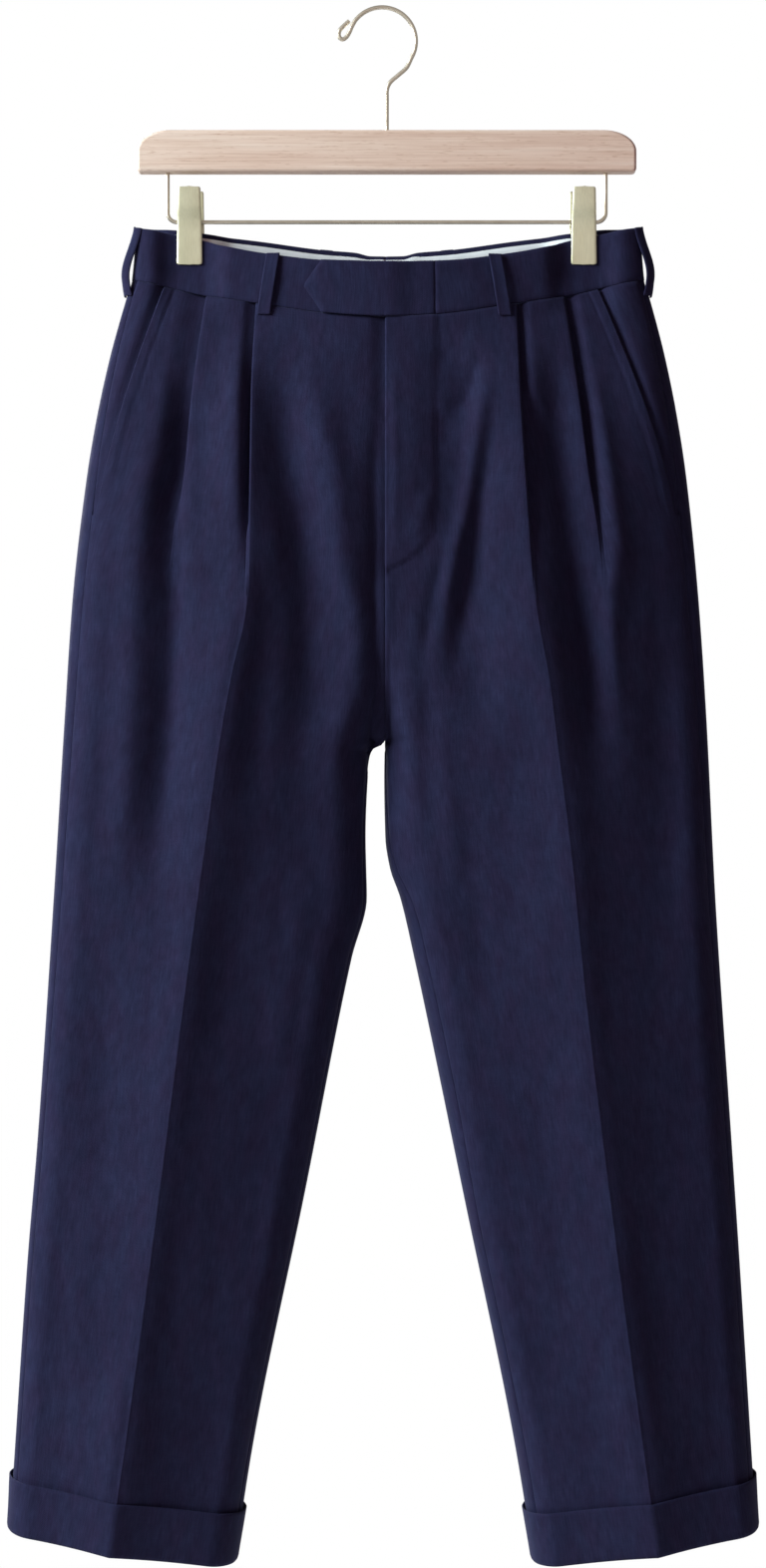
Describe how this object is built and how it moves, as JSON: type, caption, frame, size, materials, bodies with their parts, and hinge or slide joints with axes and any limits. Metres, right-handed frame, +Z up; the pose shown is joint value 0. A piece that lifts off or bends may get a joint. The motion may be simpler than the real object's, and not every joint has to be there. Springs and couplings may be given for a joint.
{
  "type": "pleated dress trousers on a clip hanger",
  "caption": "Navy wool dress trousers with reverse pleats, pressed creases, slanted pockets, a pointed waistband tab and turn-ups, hanging from a wooden clip hanger.",
  "frame": {"origin": "inside top of the hanger's hook, where the rail carries it, straight above the hook's stem", "axes": "+Z up, the front of the trousers faces -Y, the wearer's left is +X"},
  "size_m": [0.5647, 0.1044, 1.1653],
  "materials": {
    "wool": "matt navy wool twill",
    "lining": "pale smooth waistband lining",
    "beech": "satin pale beech",
    "hook_wire": "satin warm steel wire",
    "clip_metal": "matt champagne gold plate"
  },
  "bodies": {
    "root": {"front_panel_R": "wool", "back_panel_R": "wool", "front_leg_R": "wool", "back_leg_R": "wool", "pocket_facing_R": "wool", "waistband_R": "wool", "cuff_R": "wool", "belt_loop_front_R": "wool", "belt_loop_side_R": "wool", "belt_loop_back_R": "wool", "waistband_lining_R": "lining", "clip_front_leaf_R": "clip_metal", "clip_back_leaf_R": "clip_metal", "clip_spring_R": "clip_metal", "front_panel_L": "wool", "back_panel_L": "wool", "front_leg_L": "wool", "back_leg_L": "wool", "pocket_facing_L": "wool", "waistband_L": "wool", "cuff_L": "wool", "belt_loop_front_L": "wool", "belt_loop_side_L": "wool", "belt_loop_back_L": "wool", "waistband_lining_L": "lining", "clip_front_leaf_L": "clip_metal", "clip_back_leaf_L": "clip_metal", "clip_spring_L": "clip_metal", "waistband_tab": "wool", "hanger_bar": "beech", "hanger_hook": "hook_wire", "clip_rail": "hook_wire"}
  },
  "joints": []
}
